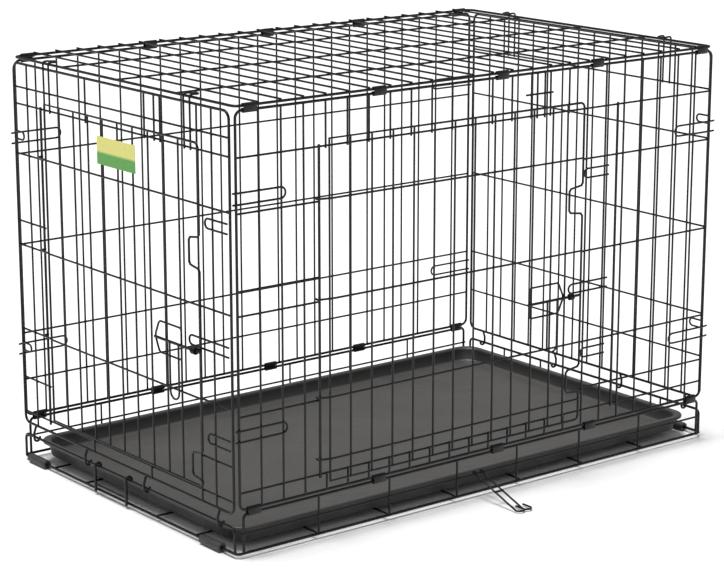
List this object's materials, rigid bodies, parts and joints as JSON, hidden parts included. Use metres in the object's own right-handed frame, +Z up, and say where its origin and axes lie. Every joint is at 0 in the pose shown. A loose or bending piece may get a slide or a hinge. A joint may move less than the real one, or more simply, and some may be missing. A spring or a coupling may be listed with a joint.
{
  "type": "wire dog crate",
  "caption": "Folding wire dog crate with a front door, an end door, slide bolts and a removable plastic floor pan.",
  "frame": {"origin": "on the floor, under the middle of the box that holds the whole crate with its closing hook and bolts", "axes": "+X runs along the crate away from the end door, +Y across it away from the front door, +Z up"},
  "size_m": [0.9486, 0.6868, 0.6431],
  "materials": {
    "wire": "glossy black electro-coat over welded steel wire",
    "clip": "black coated sheet steel",
    "pan": "fine-grained black moulded plastic",
    "foot": "soft grey moulded plastic",
    "card": "printed card in two plain colours"
  },
  "bodies": {
    "base": {"base_frame": "wire", "base_wall_front": "wire", "base_wall_back": "wire", "base_wall_left": "wire", "base_wall_right": "wire", "foot_1": "foot", "foot_2": "foot", "foot_3": "foot", "foot_4": "foot"},
    "pan": {"pan": "pan"},
    "pan_stop": {"pan_stop": "wire"},
    "closing_hook": {"closing_hook": "wire"},
    "front_side": {"front_side": "wire", "front_bottom_clip_1": "clip", "front_bottom_clip_2": "clip", "front_bottom_clip_3": "clip", "front_bottom_clip_4": "clip", "front_bottom_clip_5": "clip"},
    "front_door": {"front_door": "wire"},
    "front_bolt": {"front_bolt": "wire"},
    "back_side": {"back_side": "wire", "back_bottom_clip_1": "clip", "back_bottom_clip_2": "clip", "back_bottom_clip_3": "clip", "back_bottom_clip_4": "clip", "back_bottom_clip_5": "clip"},
    "top_panel": {"top_panel": "wire", "front_top_clip_1": "clip", "front_top_clip_2": "clip", "front_top_clip_3": "clip", "front_top_clip_4": "clip", "front_top_clip_5": "clip", "back_top_clip_1": "clip", "back_top_clip_2": "clip", "back_top_clip_3": "clip", "back_top_clip_4": "clip", "back_top_clip_5": "clip"},
    "left_end": {"left_end": "wire"},
    "left_door": {"left_door": "wire", "label_card": "card"},
    "left_bolt": {"left_bolt": "wire"},
    "right_end": {"right_end": "wire"}
  },
  "joints": [
    {"name": "front_side_fold", "type": "hinge", "parent": "base", "child": "front_side", "pos_m": [0.00591, -0.24127, 0.0646], "axis": [1, 0, 0], "range_deg": [-85, 0]},
    {"name": "top_fold", "type": "hinge", "parent": "front_side", "child": "top_panel", "pos_m": [0.00591, -0.24127, 0.6321], "axis": [1, 0, 0], "range_deg": [0, 85]},
    {"name": "back_side_fold", "type": "hinge", "parent": "base", "child": "back_side", "pos_m": [0.00591, 0.33773, 0.0646], "axis": [1, 0, 0], "range_deg": [-85, 0]},
    {"name": "left_end_fold", "type": "hinge", "parent": "base", "child": "left_end", "pos_m": [-0.45529, 0.04823, 0.044], "axis": [0, 1, 0], "range_deg": [0, 90]},
    {"name": "right_end_fold", "type": "hinge", "parent": "base", "child": "right_end", "pos_m": [0.46711, 0.04823, 0.044], "axis": [0, 1, 0], "range_deg": [-90, 0]},
    {"name": "front_door_swing", "type": "hinge", "parent": "front_side", "child": "front_door", "pos_m": [-0.31109, -0.24317, 0.33], "axis": [0, 0, -1], "range_deg": [0, 120]},
    {"name": "left_door_swing", "type": "hinge", "parent": "left_end", "child": "left_door", "pos_m": [-0.45719, 0.25223, 0.33], "axis": [0, 0, 1], "range_deg": [-120, 0]},
    {"name": "front_bolt_slide", "type": "slide", "parent": "front_door", "child": "front_bolt", "axis": [1, 0, 0], "range_m": [-0.03, 0]},
    {"name": "left_bolt_slide", "type": "slide", "parent": "left_door", "child": "left_bolt", "axis": [0, 1, 0], "range_m": [0, 0.03]},
    {"name": "pan_slide", "type": "slide", "parent": "base", "child": "pan", "axis": [1, 0, 0], "range_m": [-0.013, 0]},
    {"name": "pan_stop_swing", "type": "hinge", "parent": "base", "child": "pan_stop", "pos_m": [-0.45529, 0.07823, 0.044], "axis": [0, 1, 0], "range_deg": [0, 100]},
    {"name": "closing_hook_swing", "type": "hinge", "parent": "base", "child": "closing_hook", "pos_m": [-0.01209, -0.24277, 0.036], "axis": [1, 0, 0], "range_deg": [-90, 0]}
  ],
  "couplings": [
    {"joint": "top_fold", "follows": "front_side_fold", "ratio": -1},
    {"joint": "back_side_fold", "follows": "front_side_fold", "ratio": 1}
  ]
}
